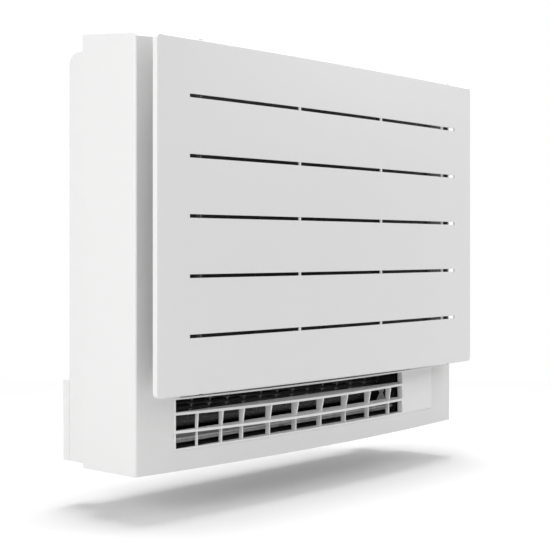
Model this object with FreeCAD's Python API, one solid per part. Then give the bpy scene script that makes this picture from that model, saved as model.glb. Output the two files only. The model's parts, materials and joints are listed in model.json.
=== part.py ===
# Floor console air conditioner: a bowed front casing with a floating slotted panel,
# a lower outlet with a finned grille and a swing shutter, and an upper outlet under a flap.
# Millimetres. X runs left to right, -Y is the front, +Y is the wall, Z is up.
# The origin is the bottom centre of the overall box.
import FreeCAD, Part
import math
import os

os.makedirs("parts", exist_ok=True)
Vector = FreeCAD.Vector
ALONG_X = Vector(1, 0, 0)
ALONG_Y = Vector(0, 1, 0)
ALONG_Z = Vector(0, 0, 1)

# Overall size
width = 750.0
height = 600.0
depth = 238.0

# Shared fits
fit_gap = 0.3
run_gap = 0.05
swing_gap = 1.0
overrun = 5.0
wall = 3.0
thin_wall = 2.0

# Front casing; side and drop values are measured from the unit's side and top
casing_bow = 21.5
side_depth = 108.0
top_fall = 10.0
corner_round = 4.0
top_round = 3.0
inlet_side = 75.0
inlet_mullion = 12.0
inlet_bottom = 128.0
inlet_drop = 52.0
lattice_depth = 4.0
lattice_width = 2.0
lattice_rows = 3
lattice_columns = 2
ridge_depth = 1.6
ridge_fade_left = 3.0
ridge_fade_right = 35.0
ridge_steps = 2

# Front panel
panel_standoff = 43.5
panel_bow = 10.7
panel_depth = 9.4
panel_skin = 2.5
panel_bottom = 107.2
panel_drop = 14.0
panel_corner = 8.0
panel_soft_edge = 2.0
bevel_width = 15.0
bevel_depth = 1.2
slot_count = 5
slot_foot = 79.3
slot_head = 77.0
slot_height = 5.0
slot_side = 55.8
bridge_place = 99.4
bridge_width = 3.0
end_rib_side = 77.0
striker_size = 14.0
striker_drop = 24.0

# Panel hinges
hinge_side = 53.0
hinge_rise = 16.0
hinge_back = 8.0
hinge_pin_radius = 2.5
hinge_arm = 6.0
hinge_ear = 4.0
hinge_foot = 14.0
hinge_eye = 6.0
hinge_side_gap = 0.5
eye_sides = 12

# Air filters
filter_border = 9.0
filter_rib = 1.6
filter_sheet = 0.6
filter_rows = 3
filter_columns = 2

# Lower outlet grille
insert_side_left = 65.2
insert_side_right = 68.0
insert_bottom = 28.0
insert_top = 100.0
insert_rim = 2.5
grille_back = 4.7
closed_end = 97.0
bar_shares = (0.3125, 0.66)
bar_height = 3.6
bar_tilt = 3.0
fin_thick = 2.4
fin_shares = (0.0823, 0.1728, 0.2536, 0.3632, 0.4767, 0.5902, 0.7076, 0.8249, 0.9365)
fin_top_share = 0.15
fin_low_share = 0.5
slit_height = 6.5
slit_side_left = 75.0
slit_side_right = 139.0

# Rear casing
rear_side = 25.0
rear_drop = 17.0
rear_round = 18.0
back_step = 16.0
base_front = 45.0
back_pad_side = 85.0
back_pad_low = 130.0
back_pad_drop = 145.0
cover_height = 115.0
cover_width = 46.0

# Wall plate
plate_side = 115.0
plate_drop = 40.0
plate_height = 80.0
plate_thick = 1.6
plate_hole = 3.0
plate_hole_inset = 40.0
hook_width = 30.0
hook_pitch = 180.0

# Bulkheads
bulkhead_thick = 4.0
bulkhead_lap_left = 2.2
bulkhead_lap_right = 4.0
bulkhead_setback = 2.8

# Heat exchanger
coil_setback = 18.8
coil_thick = 26.0
coil_foot_gap = 27.0
coil_head_gap = 16.0
coil_stand = 20.0
coil_headroom = 10.0
coil_end_gap = 6.0
end_plate = 1.5
end_plate_reach = 22.0
tube_radius = 4.0
tube_rows = 6
tube_sides = 6
bend_reach = 14.0

# Cross-flow fans
lower_fan_front_gap = 34.8
lower_fan_rear_gap = 38.0
lower_fan_lift = 18.0
upper_fan_front_gap = 32.8
upper_fan_rear_gap = 44.0
upper_fan_headroom = 3.0
fan_end_gap = 4.0
fan_blades = 12
fan_cells = 2
disc_sides = 20
disc_thick = 2.0
disc_edge = 1.0
blade_wall = 1.1
blade_root_share = 0.78
blade_lean_angle = 16.0
shaft_radius = 4.0
hub_radius = 10.0
hub_length = 8.0
hub_sides = 12

# Bearing blocks and motors
block_neck = 18.0
block_flange = 26.0
block_length = 8.0
shaft_opening = 16.0
motor_step = 12.0
motor_length = 62.0
motor_sides = 24
motor_stub = 16.0
bracket_thick = 3.0
cradle_length = 40.0
stepper_radius = 9.5
stepper_length = 14.0
stepper_offset = 6.5
stepper_sides = 16
pin_sides = 12

# Scrolls and tongues; angles turn from the wall side upwards
tongue_gap = 5.0
scroll_mid_gap = 10.0
scroll_wall = 2.0
lower_scroll_start_angle = 62.0
lower_scroll_mid_angle = -14.0
lower_tongue_angles = (171.0, 164.0, 150.0, 136.0, 134.0)
upper_scroll_start_angle = -52.0
upper_scroll_mid_angle = 28.0
scroll_end_gap = 1.3
upper_tongue_angles = (186.0, 180.0, 168.0)
upper_tongue_rise = 12.0
scroll_rib_shares = (0.25, 0.5, 0.75)

# Lower shutter
shutter_setback = 30.8
shutter_radius = 33.5
shutter_thick = 2.2
shutter_front_angle = 44.0
shutter_rear_angle = 38.0
shutter_slot_low_angle = 27.0
shutter_slot_high_angle = 36.0
shutter_hub = 5.0
shutter_arm = 3.0
shutter_pin = 2.5
shutter_arm_shares = (0.47, 0.908)
down_angle = -90.0

# Upper duct and flap
duct_setback = 10.8
duct_depth = 48.0
duct_height = 31.0
flap_side = 69.0
flap_front = 10.0
flap_back = 53.0
flap_tail = 8.0
flap_tail_gap = 2.8
flap_drop = 8.0
flap_thick = 3.0
flap_barrel = 6.5
flap_hub_length = 10.0
flap_pin = 1.6
flap_gap = 0.8
flap_ear = 4.0

# Upper vanes
vane_count = 8
vane_thick = 1.6
vane_height = 32.0
vane_axis_drop = 18.0
vane_crank = 12.0
vane_pin = 1.5
vane_notch = 9.0
crank_pin = 1.2
vane_pin_sides = 6
link_thick = 3.0
link_height = 5.0

# Drain pan
pan_setback = 6.8
pan_over_left = 26.0
pan_over_right = 18.0
pan_height = 18.0
nozzle_radius = 8.0
nozzle_length = 36.0
nozzle_bore = 6.0
nozzle_sides = 16

# Refrigerant pipes
gas_radius = 4.76
liquid_radius = 3.18
pipe_side = 30.0
pipe_bend = 16.0
pipe_low = 58.0
pipe_spread = 26.0
pipe_end_gap = 9.2
pipe_sides = 8
nut_length = 16.0
nut_growth = 4.0
nut_setback = 4.0
nut_sides = 6

# Electrical box
box_clear = 18.0
box_side = 30.0
box_setback = 19.8
box_depth = 97.0
box_footroom = 49.0
box_headroom = 38.0
board_thick = 1.6
board_gap = 8.0
post_size = 6.0
lug_inset = 22.0
terminal_setback = 21.0
terminal_lanes = 5
lane_gap_share = 0.3
# Each block's left, low, width and height shares of the board, and its rise share of the gap
component_shares = (
    (0.10, 0.08, 0.32, 0.14, 2.5),
    (0.55, 0.07, 0.33, 0.12, 3.5),
    (0.10, 0.30, 0.24, 0.20, 3.0),
    (0.48, 0.28, 0.20, 0.10, 1.5),
    (0.74, 0.28, 0.14, 0.24, 2.0),
    (0.12, 0.60, 0.40, 0.08, 1.2),
    (0.60, 0.62, 0.26, 0.20, 1.0),
    (0.12, 0.78, 0.30, 0.12, 1.8),
)

# Places worked out from the sizes above, across the width
half = width / 2
inlet_edge = half - inlet_side
slot_half = half - slot_side
end_rib_place = half - end_rib_side
hinge_place = half - hinge_side
insert_left = half - insert_side_left
insert_right = half - insert_side_right
outlet_right = insert_right - closed_end
slit_left = half - slit_side_left
slit_right = half - slit_side_right
rear_half = half - rear_side
back_pad_half = half - back_pad_side
plate_half = half - plate_side
plate_hole_x = plate_half - plate_hole_inset
duct_left = insert_left + bulkhead_lap_left
duct_right = outlet_right + bulkhead_lap_right
flap_half = half - flap_side
pan_left = duct_left + pan_over_left
pan_right = duct_right + pan_over_right
pipe_place = half - pipe_side
box_left = duct_right + bulkhead_thick + box_clear
box_right = half - box_side

# Places from front to back
wall_y = depth / 2
panel_end_y = panel_bow - wall_y
corner_y = panel_end_y + panel_standoff
rim_y = corner_y + side_depth
back_y = wall_y - back_step
inner_back_y = back_y - wall
grille_back_y = corner_y - grille_back
base_front_y = corner_y + base_front
bulkhead_front_y = corner_y + bulkhead_setback
coil_front_y = corner_y + coil_setback
coil_back_y = coil_front_y + coil_thick
coil_mid_y = coil_front_y + coil_thick / 2
bulkhead_mid_y = coil_back_y + end_plate_reach
inner_span = inner_back_y - corner_y
lower_fan_radius = (inner_span - lower_fan_front_gap - lower_fan_rear_gap) / 2
lower_fan_y = corner_y + lower_fan_front_gap + lower_fan_radius
upper_fan_radius = (inner_span - upper_fan_front_gap - upper_fan_rear_gap) / 2
upper_fan_y = corner_y + upper_fan_front_gap + upper_fan_radius
shutter_y = corner_y + shutter_setback
duct_front_y = corner_y + duct_setback
duct_rear_y = duct_front_y + duct_depth
pan_front_y = corner_y + pan_setback
pipe_end_y = rim_y - pipe_end_gap
box_front_y = corner_y + box_setback
box_back_y = box_front_y + box_depth

# Levels
insert_mid = (insert_top + insert_bottom) / 2
bar_levels = [insert_bottom + (insert_top - insert_bottom) * share for share in bar_shares]
inlet_top = height - inlet_drop
panel_top = height - panel_drop
rear_top = height - rear_drop
back_pad_high = height - back_pad_drop
plate_high = height - plate_drop
plate_low = plate_high - plate_height
duct_low = rear_top - duct_height
lower_fan_z = insert_bottom + lower_fan_lift + lower_fan_radius
upper_fan_z = duct_low - upper_fan_headroom - upper_fan_radius
coil_bottom = lower_fan_z + lower_fan_radius + coil_foot_gap
coil_top = upper_fan_z - upper_fan_radius - coil_head_gap
pan_low = coil_bottom - coil_stand
notch_top = coil_top + coil_headroom
box_low = lower_fan_z + lower_fan_radius - motor_step + bracket_thick + box_footroom
box_high = upper_fan_z - upper_fan_radius + motor_step - bracket_thick - box_headroom


def bow_radius(bow):
    return (half * half + bow * bow) / (2 * bow)


def bow_centre(end_y, bow):
    return end_y - bow + bow_radius(bow)


def bow_y(x, end_y, bow, inset=0.0):
    radius = bow_radius(bow) - inset
    return bow_centre(end_y, bow) - math.sqrt(radius * radius - x * x)


def casing_y(x, inset=0.0):
    return bow_y(x, corner_y, casing_bow, inset)


def panel_y(x, inset=0.0):
    return bow_y(x, panel_end_y, panel_bow, inset)


def air_path_front():
    """Where the ducts begin, just behind the casing's front wall."""
    return casing_y(duct_left, wall) + fit_gap


def top_slope():
    """The rise of the casing's top for each step away from the bowed front."""
    side_run = bow_radius(casing_bow) - math.hypot(half, bow_centre(corner_y, casing_bow) - rim_y)
    return top_fall / side_run


def top_z(y):
    """The height of the casing's top on the middle plane."""
    return height - top_fall + top_slope() * (y - (corner_y - casing_bow))


def box(x0, x1, y0, y1, z0, z1):
    return Part.makeBox(x1 - x0, y1 - y0, z1 - z0, Vector(x0, y0, z0))


def rod_x(x0, x1, y, z, radius):
    return Part.makeCylinder(radius, x1 - x0, Vector(x0, y, z), ALONG_X)


def rod_y(y0, y1, x, z, radius):
    return Part.makeCylinder(radius, y1 - y0, Vector(x, y0, z), ALONG_Y)


def prism_x(points, x0, x1):
    corners = [Vector(x0, y, z) for y, z in points]
    face = Part.Face(Part.makePolygon(corners + corners[:1]))
    return face.extrude(Vector(x1 - x0, 0, 0))


def polar(y, z, radius, angle):
    turn = math.radians(angle)
    return y + radius * math.cos(turn), z + radius * math.sin(turn)


def facet_rod_x(x0, x1, y, z, radius, sides):
    """A rod with flat sides whose corners lie on the radius."""
    angles = [360.0 * (index + 0.5) / sides for index in range(sides)]
    return prism_x([polar(y, z, radius, angle) for angle in angles], x0, x1)


def facet_bore_x(x0, x1, y, z, radius, sides):
    """A bore with flat sides that touch the radius."""
    return facet_rod_x(x0, x1, y, z, radius / math.cos(math.pi / sides), sides)


def facet_rod_y(y0, y1, x, z, radius, sides):
    """The same rod along Y, with a corner on each side in X."""
    turns = [2 * math.pi * index / sides for index in range(sides)]
    corners = [Vector(x + radius * math.cos(a), y0, z + radius * math.sin(a)) for a in turns]
    face = Part.Face(Part.makePolygon(corners + corners[:1]))
    return face.extrude(Vector(0, y1 - y0, 0))


def bowed(curve, x0, x1, front, back, z0, z1):
    """A slab that follows a bowed front, from the inset front to the inset back."""
    def point(x, inset):
        return Vector(x, curve(x, inset), z0)
    middle = (x0 + x1) / 2
    edges = [
        Part.Arc(point(x0, front), point(middle, front), point(x1, front)).toShape(),
        Part.makeLine(point(x1, front), point(x1, back)),
        Part.Arc(point(x1, back), point(middle, back), point(x0, back)).toShape(),
        Part.makeLine(point(x0, back), point(x0, front)),
    ]
    return Part.Face(Part.Wire(edges)).extrude(Vector(0, 0, z1 - z0))


def bowed_to(curve, x0, x1, front, back_y, z0, z1):
    """A slab from a bowed front to a flat back."""
    def point(x):
        return Vector(x, curve(x, front), z0)
    edges = [
        Part.Arc(point(x0), point((x0 + x1) / 2), point(x1)).toShape(),
        Part.makeLine(point(x1), Vector(x1, back_y, z0)),
        Part.makeLine(Vector(x1, back_y, z0), Vector(x0, back_y, z0)),
        Part.makeLine(Vector(x0, back_y, z0), point(x0)),
    ]
    return Part.Face(Part.Wire(edges)).extrude(Vector(0, 0, z1 - z0))


def turned(edges, end_y, bow):
    """A section at X = 0 swept round the axis of a bow, past both sides of the unit."""
    centre = Vector(0, bow_centre(end_y, bow), 0)
    sweep = 2 * math.degrees(math.asin((half + overrun) / (bow_radius(bow) - depth)))
    body = Part.Face(Part.Wire(edges)).revolve(centre, ALONG_Z, sweep)
    body.rotate(centre, ALONG_Z, -sweep / 2)
    return body


def arc_band(y, z, inner, outer, start, end, x0, x1):
    """A curved plate about an axis along X."""
    def point(radius, angle):
        py, pz = polar(y, z, radius, angle)
        return Vector(x0, py, pz)
    middle = (start + end) / 2
    edges = [
        Part.Arc(point(inner, start), point(inner, middle), point(inner, end)).toShape(),
        Part.makeLine(point(inner, end), point(outer, end)),
        Part.Arc(point(outer, end), point(outer, middle), point(outer, start)).toShape(),
        Part.makeLine(point(outer, start), point(inner, start)),
    ]
    return Part.Face(Part.Wire(edges)).extrude(Vector(x1 - x0, 0, 0))


def join(shapes):
    return shapes[0].multiFuse(shapes[1:]).removeSplitter()


def facet_rod_z(z0, z1, x, y, radius, sides):
    turns = [2 * math.pi * (index + 0.5) / sides for index in range(sides)]
    corners = [Vector(x + radius * math.cos(a), y + radius * math.sin(a), z0) for a in turns]
    return Part.Face(Part.makePolygon(corners + corners[:1])).extrude(Vector(0, 0, z1 - z0))


def mirror_x(shape):
    return shape.mirror(Vector(0, 0, 0), ALONG_X)


def edges_where(shape, test):
    return [edge for edge in shape.Edges if test(edge)]


def save(shape, node):
    shape.exportStep("parts/" + node + ".step")


# Ridges: three sawtooth rows level with the grille, which fade out to each side
def row_limits():
    levels = [insert_bottom] + bar_levels + [insert_top - insert_rim]
    return list(zip(levels[:-1], levels[1:]))


def ridge_wedge(x_deep, x_end, low, high):
    sections = []
    steps = ridge_steps
    for step in range(steps + 1):
        share = step / steps
        x = x_deep + (x_end - x_deep) * share
        cut = ridge_depth * (1 - share) + fit_gap * share / steps
        face_y = casing_y(x)
        corners = [
            Vector(x, face_y - overrun, high),
            Vector(x, face_y + cut, high),
            Vector(x, face_y - fit_gap / steps, low + bar_height),
            Vector(x, face_y - overrun, low + bar_height),
        ]
        sections.append(Part.makePolygon(corners + corners[:1]))
    return Part.makeLoft(sections, True, True)


def ridges_right():
    return [ridge_wedge(outlet_right, half - ridge_fade_right, low, high) for low, high in row_limits()]


def ridges_left():
    return [ridge_wedge(-insert_left, ridge_fade_left - half, low, high) for low, high in row_limits()]


def casing_section(inset, radius):
    """The casing's section on the middle plane, with a rounded edge where the front meets the top."""
    front = corner_y - casing_bow + inset
    slope = math.atan(top_slope())
    crown = Vector(0, front, top_z(front) - inset / math.cos(slope))
    reach = radius / math.tan((math.pi / 2 + slope) / 2)
    below = crown - Vector(0, 0, reach)
    behind = crown + Vector(0, reach * math.cos(slope), reach * math.sin(slope))
    facing = (math.pi / 2 - slope) / 2
    middle = below + Vector(0, radius * (1 - math.cos(facing)), radius * math.sin(facing))
    back = rim_y + overrun
    back_top = crown.z + top_slope() * (back - front)
    edge = [Part.Arc(below, middle, behind).toShape()] if radius else []
    return edge + [
        Part.makeLine(behind, Vector(0, back, back_top)),
        Part.makeLine(Vector(0, back, back_top), Vector(0, back, inset)),
        Part.makeLine(Vector(0, back, inset), Vector(0, front, inset)),
        Part.makeLine(Vector(0, front, inset), below),
    ]


def corner_wedge():
    """What the rounding takes off the casing's right front corner, over its whole height."""
    radius = corner_round
    centre = Vector(half - radius, casing_y(half - radius, radius), 0)
    out = centre - Vector(0, bow_centre(corner_y, casing_bow), 0)
    out.normalize()
    side = centre + ALONG_X * radius
    front = centre + out * radius
    facing = out + ALONG_X
    facing.normalize()
    far_x = half + overrun
    edges = [
        Part.makeLine(side, Vector(far_x, side.y, 0)),
        Part.makeLine(Vector(far_x, side.y, 0), Vector(far_x, front.y - overrun, 0)),
        Part.makeLine(Vector(far_x, front.y - overrun, 0), front + out * overrun),
        Part.makeLine(front + out * overrun, front),
        Part.Arc(front, centre + facing * radius, side).toShape(),
    ]
    return Part.Face(Part.Wire(edges)).extrude(Vector(0, 0, height))


def casing_block():
    block = turned(casing_section(0, top_round), corner_y, casing_bow)
    block = block.common(box(-half, half, -wall_y, rim_y, 0, height))
    wedge = corner_wedge()
    return block.cut(Part.makeCompound([wedge, mirror_x(wedge)]))


def casing_cavity():
    inner = half - wall
    cavity = turned(casing_section(wall, 0), corner_y, casing_bow)
    return cavity.common(box(-inner, inner, -wall_y, rim_y - wall, 0, height - wall))


def inlet_windows():
    start = inlet_mullion / 2
    return [
        box(-inlet_edge, -start, -wall_y, corner_y + wall, inlet_bottom, inlet_top),
        box(start, inlet_edge, -wall_y, corner_y + wall, inlet_bottom, inlet_top),
    ]


def casing_lattice():
    bars = []
    lap = lattice_depth
    pitch = (inlet_top - inlet_bottom) / lattice_rows
    for row in range(1, lattice_rows):
        z = inlet_bottom + pitch * row
        low = z - lattice_width / 2
        bars.append(
            bowed(casing_y, -inlet_edge - lap, inlet_edge + lap, wall, wall + lattice_depth,
                  low, low + lattice_width)
        )
    span = inlet_edge - inlet_mullion / 2
    for column in range(1, lattice_columns):
        x = inlet_mullion / 2 + span * column / lattice_columns
        for side in (-1, 1):
            left = side * x - lattice_width / 2
            bars.append(
                bowed(casing_y, left, left + lattice_width, wall, wall + lattice_depth,
                      inlet_bottom - lap, inlet_top + lap)
            )
    return bars


flap_front_y = corner_y + flap_front
flap_axis_y = corner_y + flap_back
flap_axis_z = top_z(flap_axis_y) - flap_drop
flap_outer = flap_half + flap_gap + flap_ear


def flap_ears():
    ears = []
    top = top_z(flap_axis_y) - wall
    for side in (-1, 1):
        ends = sorted((side * (flap_outer - flap_ear), side * flap_outer))
        ears.append(
            box(ends[0], ends[1], flap_axis_y - flap_barrel, flap_axis_y + flap_barrel,
                flap_axis_z - flap_barrel, top)
        )
    return ears


def front_casing():
    shell = casing_block().cut(casing_cavity())
    shell = shell.cut(Part.makeCompound(inlet_windows()))
    shell = join([shell] + casing_lattice() + flap_ears())
    cuts = [
        box(-insert_left - fit_gap, insert_right + fit_gap, -wall_y, corner_y + wall,
            insert_bottom - fit_gap, insert_top + fit_gap),
        box(-slit_left, slit_right, -wall_y, corner_y + wall, insert_top, insert_top + slit_height),
        box(-flap_half - flap_gap, flap_half + flap_gap, flap_front_y - flap_gap,
            flap_axis_y + flap_tail + flap_tail_gap, rear_top + fit_gap, height + overrun),
        box(-rear_half - fit_gap, rear_half + fit_gap, rim_y - wall - overrun, rim_y + overrun,
            -overrun, rear_top + fit_gap),
        box(-rear_half - fit_gap, rear_half + fit_gap, base_front_y - fit_gap, rim_y + overrun,
            -overrun, wall + fit_gap),
        facet_bore_x(-flap_outer, flap_outer, flap_axis_y, flap_axis_z, flap_pin + run_gap, pin_sides),
    ]
    return shell.cut(Part.makeCompound(cuts + ridges_left() + ridges_right()))


# Front panel: a bowed tray with five slots, hinge arms and two strikers
hinge_y = panel_y(hinge_place, panel_depth) + hinge_back
hinge_z = panel_bottom + hinge_rise
striker_y = panel_y(hinge_place, panel_depth)
striker_z = panel_top - striker_drop


def rounded_front(x0, x1, z0, z1, radius):
    block = box(x0, x1, -wall_y - overrun, corner_y, z0, z1)
    return block.makeFillet(radius, edges_where(block, lambda e: e.BoundBox.YLength > overrun))


def clipped_front(x0, x1, z0, z1, size):
    block = box(x0, x1, -wall_y - overrun, corner_y, z0, z1)
    return block.makeChamfer(size, edges_where(block, lambda e: e.BoundBox.YLength > overrun))


def slot_levels():
    first = panel_bottom + slot_foot
    pitch = (panel_top - slot_head - first) / (slot_count - 1)
    return [first + pitch * index for index in range(slot_count)]


def panel_slots():
    gap = bridge_width / 2
    runs = (
        (-slot_half, -bridge_place - gap),
        (gap - bridge_place, bridge_place - gap),
        (bridge_place + gap, slot_half),
    )
    cuts = []
    for z in slot_levels():
        for x0, x1 in runs:
            low = z - slot_height / 2
            cuts.append(box(x0, x1, -wall_y - overrun, corner_y, low, low + slot_height))
    return cuts


def panel_section():
    """The panel's section on the middle plane, with soft front edges at the top and bottom."""
    front = -wall_y
    back = front + panel_depth
    soft = panel_soft_edge
    corners = [
        Vector(0, back, panel_bottom),
        Vector(0, front + soft, panel_bottom),
        Vector(0, front, panel_bottom + soft),
        Vector(0, front, panel_top - soft),
        Vector(0, front + soft, panel_top),
        Vector(0, back, panel_top),
    ]
    return [Part.makeLine(a, b) for a, b in zip(corners, corners[1:] + corners[:1])]


def panel_bevels():
    """Shallow wedges that thin the panel's face towards both side edges."""
    inner = half - bevel_width
    inner_y = panel_y(inner)
    outer_y = panel_end_y + bevel_depth
    slope = (outer_y - inner_y) / bevel_width
    cuts = []
    for side in (-1, 1):
        points = [
            Vector(side * (inner - bevel_width), inner_y - slope * bevel_width, 0),
            Vector(side * (half + bevel_width), outer_y + slope * bevel_width, 0),
            Vector(side * (half + bevel_width), inner_y - slope * bevel_width, 0),
        ]
        wedge = Part.Face(Part.makePolygon(points + points[:1]))
        cuts.append(wedge.extrude(Vector(0, 0, height)))
    return cuts


def front_panel():
    plate = turned(panel_section(), panel_end_y, panel_bow)
    plate = plate.common(rounded_front(-half, half, panel_bottom, panel_top, panel_corner))
    inside = half - panel_skin
    low = panel_bottom + panel_skin
    high = panel_top - panel_skin
    hollow = bowed(panel_y, -inside, inside, panel_skin, panel_depth + overrun, low, high)
    hollow = hollow.common(clipped_front(-inside, inside, low, high, panel_corner / 2))
    plate = plate.cut(hollow)
    inner_skin = panel_skin / 2
    extras = []
    for place in (bridge_place, end_rib_place):
        for side in (-1, 1):
            left = side * place - bridge_width / 2
            extras.append(
                bowed(panel_y, left, left + bridge_width, inner_skin, panel_depth,
                      low - inner_skin, high + inner_skin)
            )
    reach = striker_size / 2
    skin_y = panel_y(hinge_place + striker_size, inner_skin)
    for side in (-1, 1):
        x = side * hinge_place
        left = x - hinge_arm / 2
        extras += [
            box(left, left + hinge_arm, skin_y, hinge_y, hinge_z - hinge_eye, hinge_z + hinge_eye),
            facet_rod_x(left, left + hinge_arm, hinge_y, hinge_z, eye_reach(), eye_sides),
            box(x - reach, x + reach, skin_y, striker_y, striker_z - reach, striker_z + reach),
        ]
    plate = plate.cut(Part.makeCompound(panel_slots() + panel_bevels()))
    plate = join([plate] + extras)
    return plate.cut(facet_bore_x(-half, half, hinge_y, hinge_z, hinge_pin_radius + run_gap, pin_sides))


def eye_reach():
    """The corner radius of an eye whose flats lie on its named radius."""
    return hinge_eye / math.cos(math.pi / eye_sides)


def hinge_bracket():
    """The left bracket: an ear with a stub pin, on a foot that is seated on the bowed casing."""
    ear_in = -hinge_place - hinge_arm / 2 - hinge_side_gap
    ear_out = ear_in - hinge_ear
    foot_y = casing_y(hinge_place) - hinge_ear
    pieces = [
        box(ear_out, ear_in, hinge_y, corner_y + wall, hinge_z - hinge_eye, hinge_z + hinge_eye),
        facet_rod_x(ear_out, ear_in, hinge_y, hinge_z, eye_reach(), eye_sides),
        rod_x(ear_out, -hinge_place + hinge_arm / 2, hinge_y, hinge_z, hinge_pin_radius),
        box(ear_out - hinge_ear, ear_in + hinge_foot, foot_y, corner_y + wall,
            hinge_z - hinge_eye, hinge_z + hinge_foot),
    ]
    seat = bowed_to(casing_y, -half, 0, -fit_gap, corner_y + side_depth, 0, height)
    return join(pieces).cut(seat)


def panel_latch():
    """The left latch post: a stepped post with a push head behind the panel's striker."""
    reach = striker_size / 2
    tip = reach - panel_skin
    seat_y = casing_y(hinge_place + reach)
    head_y = striker_y + fit_gap
    post = box(-hinge_place - reach, -hinge_place + reach, head_y + reach, seat_y + wall,
               striker_z - reach, striker_z + reach)
    head = box(-hinge_place - tip, -hinge_place + tip, head_y, head_y + reach,
               striker_z - tip, striker_z + tip)
    seat = bowed_to(casing_y, -half, 0, -fit_gap, corner_y + side_depth, 0, height)
    return join([post, head]).cut(seat)


# Air filters: a bowed frame with crossing ribs over a fine sheet
def air_filter():
    x0 = inlet_mullion / 2 + fit_gap
    x1 = inlet_edge - fit_gap
    z0 = inlet_bottom + fit_gap
    z1 = inlet_top - fit_gap
    back = wall - fit_gap
    frame = bowed(casing_y, x0, x1, fit_gap, back, z0, z1)
    frame = frame.cut(
        bowed(casing_y, x0 + filter_border, x1 - filter_border, -overrun, back - filter_sheet,
              z0 + filter_border, z1 - filter_border)
    )
    pieces = [frame]
    lap = filter_border / 2
    for row in range(1, filter_rows):
        low = z0 + (z1 - z0) * row / filter_rows - filter_rib / 2
        pieces.append(bowed(casing_y, x0 + lap, x1 - lap, wall / 2, back - filter_sheet / 2,
                            low, low + filter_rib))
    for column in range(1, filter_columns):
        left = x0 + (x1 - x0) * column / filter_columns - filter_rib / 2
        pieces.append(bowed(casing_y, left, left + filter_rib, wall / 2, back - filter_sheet / 2,
                            z0 + lap, z1 - lap))
    return join(pieces)


# Lower grille: an insert with two tilted bars, nine fins and a closed ridged end
def bar_cell(low, high, is_low, is_high):
    """The YZ outline of one open row between two bars."""
    front = -wall_y
    back = grille_back_y + overrun
    run = grille_back_y - (corner_y - casing_bow)
    slope = bar_tilt / run
    rise_front = slope * (front - (corner_y - casing_bow))
    rise_back = slope * (back - (corner_y - casing_bow))
    bottom = low + bar_height / 2
    top = high - bar_height / 2
    bottom_rise = (0, 0) if is_low else (rise_front, rise_back)
    top_rise = (0, 0) if is_high else (rise_front, rise_back)
    return [
        (front, bottom + bottom_rise[0]),
        (back, bottom + bottom_rise[1]),
        (back, top + top_rise[1]),
        (front, top + top_rise[0]),
    ]


def grille_fin(x):
    front = casing_y(x)
    run = grille_back_y - front
    top = bar_levels[1]
    bend = bar_levels[0] - bar_height / 2
    outline = [
        (front + run * fin_top_share, top),
        (front + run * fin_low_share, bend),
        (front + run * fin_low_share, insert_bottom + insert_rim / 2),
        (grille_back_y, insert_bottom + insert_rim / 2),
        (grille_back_y, top),
    ]
    return prism_x(outline, x - fin_thick / 2, x + fin_thick / 2)


def lower_grille():
    body = bowed_to(casing_y, -insert_left, insert_right, 0, grille_back_y, insert_bottom, insert_top)
    low = insert_bottom + insert_rim
    high = insert_top - insert_rim
    rows = [
        (low - bar_height / 2, bar_levels[0], True, False),
        (bar_levels[0], bar_levels[1], False, False),
        (bar_levels[1], high + bar_height / 2, False, True),
    ]
    x0 = insert_rim - insert_left
    cuts = [prism_x(bar_cell(*row), x0, outlet_right) for row in rows]
    cuts.append(
        bowed_to(casing_y, outlet_right + insert_rim, insert_right - insert_rim, wall,
                 grille_back_y + overrun, low, high)
    )
    body = body.cut(Part.makeCompound(cuts + ridges_right()))
    run = outlet_right + insert_left
    return join([body] + [grille_fin(run * share - insert_left) for share in fin_shares])


# Rear casing: back, base and inset sides with a raised pad that meets the wall
def rear_casing():
    outer = box(-rear_half, rear_half, base_front_y, back_y, 0, rear_top)
    crown = edges_where(
        outer,
        lambda e: e.BoundBox.ZMin > rear_top - fit_gap and e.BoundBox.YMin > back_y - fit_gap,
    )
    outer = outer.makeFillet(rear_round, crown)
    inner = box(-rear_half + wall, rear_half - wall, base_front_y - overrun, inner_back_y, wall,
                rear_top - wall)
    inner_crown = edges_where(
        inner,
        lambda e: e.BoundBox.ZMin > rear_top - wall - fit_gap
        and e.BoundBox.YMin > inner_back_y - fit_gap,
    )
    inner = inner.makeFillet(rear_round - wall, inner_crown)
    shell = outer.cut(inner)
    trim = box(-half, half, base_front_y - overrun, rim_y - wall - fit_gap, wall, height)
    shell = shell.cut(trim)
    pad = box(-back_pad_half, back_pad_half, back_y - wall / 2, wall_y, back_pad_low, back_pad_high)
    pocket = box(-back_pad_half + wall, back_pad_half - wall, back_y - wall - overrun,
                 wall_y - wall, back_pad_low + wall, back_pad_high - wall)
    shell = join([shell, pad]).cut(pocket)
    slots = []
    for place in hook_places():
        slots.append(
            box(place - hook_width / 2 - fit_gap, place + hook_width / 2 + fit_gap,
                inner_back_y - overrun, back_y + overrun,
                plate_high - hook_drop() - fit_gap, plate_high)
        )
    return shell.cut(Part.makeCompound(slots))


def hook_drop():
    return hook_width / 2


def hook_places():
    return (-hook_pitch, 0, hook_pitch)


def piping_cover():
    """The left cover: a hollow end piece that brings the base out to the wall."""
    outer = box(-rear_half, -rear_half + cover_width, back_y + fit_gap, wall_y, 0, cover_height)
    edge = edges_where(
        outer,
        lambda e: e.BoundBox.XMax < -rear_half + fit_gap and e.BoundBox.YMin > wall_y - fit_gap,
    )
    outer = outer.makeFillet(wall, edge)
    inner = box(-rear_half + wall, -rear_half + cover_width + overrun, back_y - overrun,
                wall_y - wall, wall, cover_height - wall)
    return outer.cut(inner)


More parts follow.
